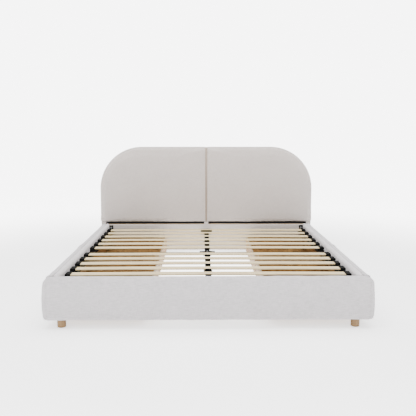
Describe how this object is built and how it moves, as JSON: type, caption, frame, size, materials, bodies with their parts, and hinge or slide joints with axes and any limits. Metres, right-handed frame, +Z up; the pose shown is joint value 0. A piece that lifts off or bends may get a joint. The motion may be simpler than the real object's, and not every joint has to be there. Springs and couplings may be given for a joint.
{
  "type": "upholstered storage bed",
  "caption": "Upholstered bed frame with a rounded two-panel padded headboard, low padded base, sprung wooden slats on a steel frame, and pull-out side drawers.",
  "frame": {"origin": "on the floor under the middle of the bed", "axes": "+Z up, +Y from the foot end towards the headboard, +X to the right when looking from the foot end at the headboard"},
  "size_m": [2, 2.225, 1.04],
  "materials": {
    "panel_fabric": "woven upholstery, matt, warm grey",
    "front_fabric": "woven upholstery, matt, light grey",
    "rail_fabric": "thin woven cover, matt",
    "black_cloth": "black non-woven lining",
    "board": "plywood, unfinished",
    "drawer_ply": "brown plywood, satin",
    "slat_wood": "pale birch, satin",
    "leg_wood": "beech, satin lacquer",
    "black_steel": "black powder coat",
    "zinc_steel": "bright zinc",
    "black_plastic": "black moulded plastic",
    "grey_plastic": "grey moulded plastic"
  },
  "bodies": {
    "bed_frame": {"centre_joint_plate": "black_steel", "centre_leg_feet": "black_plastic", "centre_legs": "black_steel", "centre_rail_brackets": "black_steel", "centre_rail_front": "black_steel", "centre_rail_rear": "black_steel", "centre_slat_pads": "black_plastic", "corner_brackets": "black_steel", "cross_tube": "black_steel", "drawer_dividers": "drawer_ply", "foot_panel_core": "board", "foot_panel_padding": "front_fabric", "foot_runner_boards": "board", "frame_bolts": "zinc_steel", "head_runner_boards": "board", "headboard_back_sheet": "black_cloth", "headboard_board_left": "board", "headboard_board_right": "board", "headboard_linings": "black_cloth", "headboard_lower_board": "board", "headboard_lower_cover": "panel_fabric", "headboard_panel_left": "panel_fabric", "headboard_panel_right": "panel_fabric", "headboard_posts": "board", "headboard_screws": "zinc_steel", "headboard_spacer_blocks": "board", "leg_bolts": "zinc_steel", "leg_glides": "grey_plastic", "leg_plates": "black_steel", "legs_front": "leg_wood", "legs_rear": "leg_wood", "runner_channels": "zinc_steel", "side_rail_left": "rail_fabric", "side_rail_right": "rail_fabric", "slat_caps_left": "black_plastic", "slat_caps_right": "black_plastic", "slat_ledger_left": "black_steel", "slat_ledger_right": "black_steel", "slats_front": "slat_wood", "slats_rear": "slat_wood"},
    "drawer_front_left": {"drawer_front_left_bottom": "drawer_ply", "drawer_front_left_front_board": "board", "drawer_front_left_pad": "front_fabric", "drawer_front_left_runners": "zinc_steel", "drawer_front_left_walls": "drawer_ply"},
    "drawer_front_right": {"drawer_front_right_bottom": "drawer_ply", "drawer_front_right_front_board": "board", "drawer_front_right_pad": "front_fabric", "drawer_front_right_runners": "zinc_steel", "drawer_front_right_walls": "drawer_ply"},
    "drawer_rear_left": {"drawer_rear_left_bottom": "drawer_ply", "drawer_rear_left_front_board": "board", "drawer_rear_left_pad": "front_fabric", "drawer_rear_left_runners": "zinc_steel", "drawer_rear_left_walls": "drawer_ply"},
    "drawer_rear_right": {"drawer_rear_right_bottom": "drawer_ply", "drawer_rear_right_front_board": "board", "drawer_rear_right_pad": "front_fabric", "drawer_rear_right_runners": "zinc_steel", "drawer_rear_right_walls": "drawer_ply"}
  },
  "joints": [
    {"name": "drawer_front_left_slide", "type": "slide", "parent": "bed_frame", "child": "drawer_front_left", "axis": [-1, 0, 0], "range_m": [0, 0.4]},
    {"name": "drawer_front_right_slide", "type": "slide", "parent": "bed_frame", "child": "drawer_front_right", "axis": [1, 0, 0], "range_m": [0, 0.4]},
    {"name": "drawer_rear_left_slide", "type": "slide", "parent": "bed_frame", "child": "drawer_rear_left", "axis": [-1, 0, 0], "range_m": [0, 0.4]},
    {"name": "drawer_rear_right_slide", "type": "slide", "parent": "bed_frame", "child": "drawer_rear_right", "axis": [1, 0, 0], "range_m": [0, 0.4]}
  ]
}
